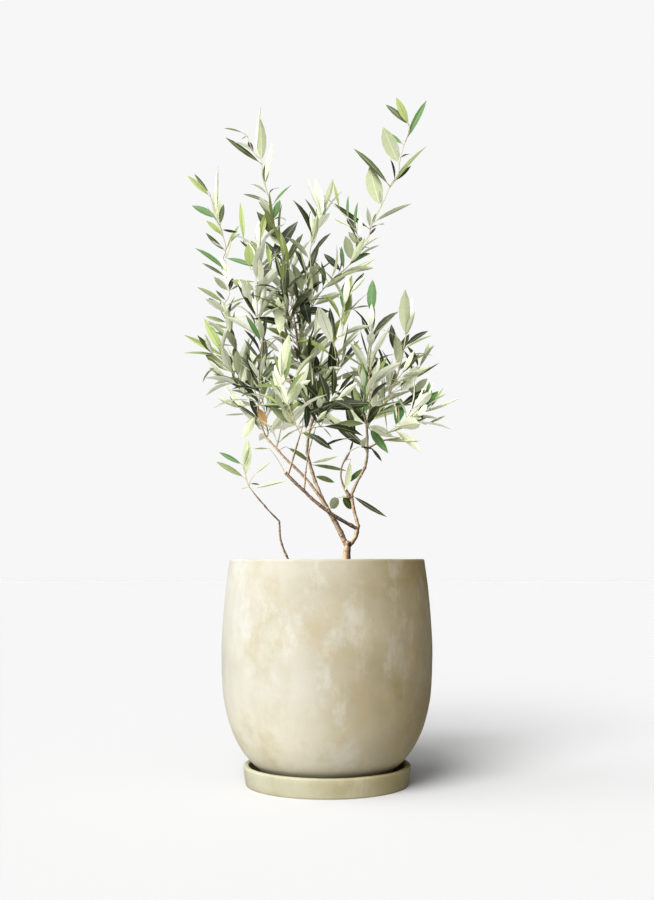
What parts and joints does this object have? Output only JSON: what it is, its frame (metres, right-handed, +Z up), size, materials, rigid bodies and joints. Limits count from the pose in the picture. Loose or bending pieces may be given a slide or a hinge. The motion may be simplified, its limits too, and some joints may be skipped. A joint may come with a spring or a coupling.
{
  "type": "potted olive tree",
  "caption": "Young olive tree with a forked stem and an open upright crown of narrow leaves, growing in a round-bellied cement planter that stands on a shallow round saucer.",
  "frame": {"origin": "centre of the saucer's flat underside, on the surface that the plant stands on", "axes": "+Z up along the planter's axis, and -Y towards the widest view of the crown, with the trunk set off the axis towards +X"},
  "size_m": [0.3807, 0.286, 0.971],
  "materials": {
    "planter_cement": "matte pale cement with whitish lime patches and faint sandy mottling",
    "saucer_cement": "matte yellow-grey cement, slightly darker than the planter",
    "soil": "crumbly dark potting mix with bits of bark",
    "bark": "smooth tan to olive-brown young bark with small nodes",
    "foliage": "satin dark green leaf tops and pale silvery undersides"
  },
  "bodies": {
    "root": {"saucer": "saucer_cement", "planter": "planter_cement", "soil": "soil", "trunk": "bark", "left_stem": "bark", "right_stem": "bark", "cross_bough": "bark", "cross_bough_rise": "bark", "cross_twig": "bark", "right_limb_foot": "bark", "right_limb_bend": "bark", "right_limb_top": "bark", "inner_twig": "bark", "outer_branch": "bark", "long_bough": "bark", "long_bough_rise": "bark", "leader_foot": "bark", "leader": "bark", "leader_top": "bark", "sucker": "bark", "sucker_tip": "bark", "centre_low_leaves": "foliage", "centre_leaves": "foliage", "centre_high_leaves": "foliage", "left_low_leaves": "foliage", "core_leaves": "foliage", "left_leaves": "foliage", "far_left_low_leaves": "foliage", "left_skirt_leaves": "foliage", "left_shoot_low_leaves": "foliage", "left_shoot_leaves": "foliage", "left_shoot_top_leaves": "foliage", "inner_left_leaves": "foliage", "high_left_low_leaves": "foliage", "high_left_leaves": "foliage", "high_left_top_leaves": "foliage", "high_left_side_leaves": "foliage", "centre_shoot_leaves": "foliage", "centre_shoot_top_leaves": "foliage", "top_shoot_low_leaves": "foliage", "top_shoot_leaves": "foliage", "top_shoot_tip_leaves": "foliage", "top_side_leaves": "foliage", "right_crest_leaves": "foliage", "right_shoot_leaves": "foliage", "right_flare_leaves": "foliage", "right_low_leaves": "foliage", "far_right_leaves": "foliage", "inner_twig_leaves": "foliage", "front_left_leaves": "foliage", "front_leaves": "foliage", "front_right_leaves": "foliage", "high_front_leaves": "foliage", "back_left_leaves": "foliage", "back_leaves": "foliage", "back_right_leaves": "foliage", "high_back_leaves": "foliage", "low_leaves": "foliage", "knee_leaves": "foliage", "sucker_leaves": "foliage"}
  },
  "joints": []
}
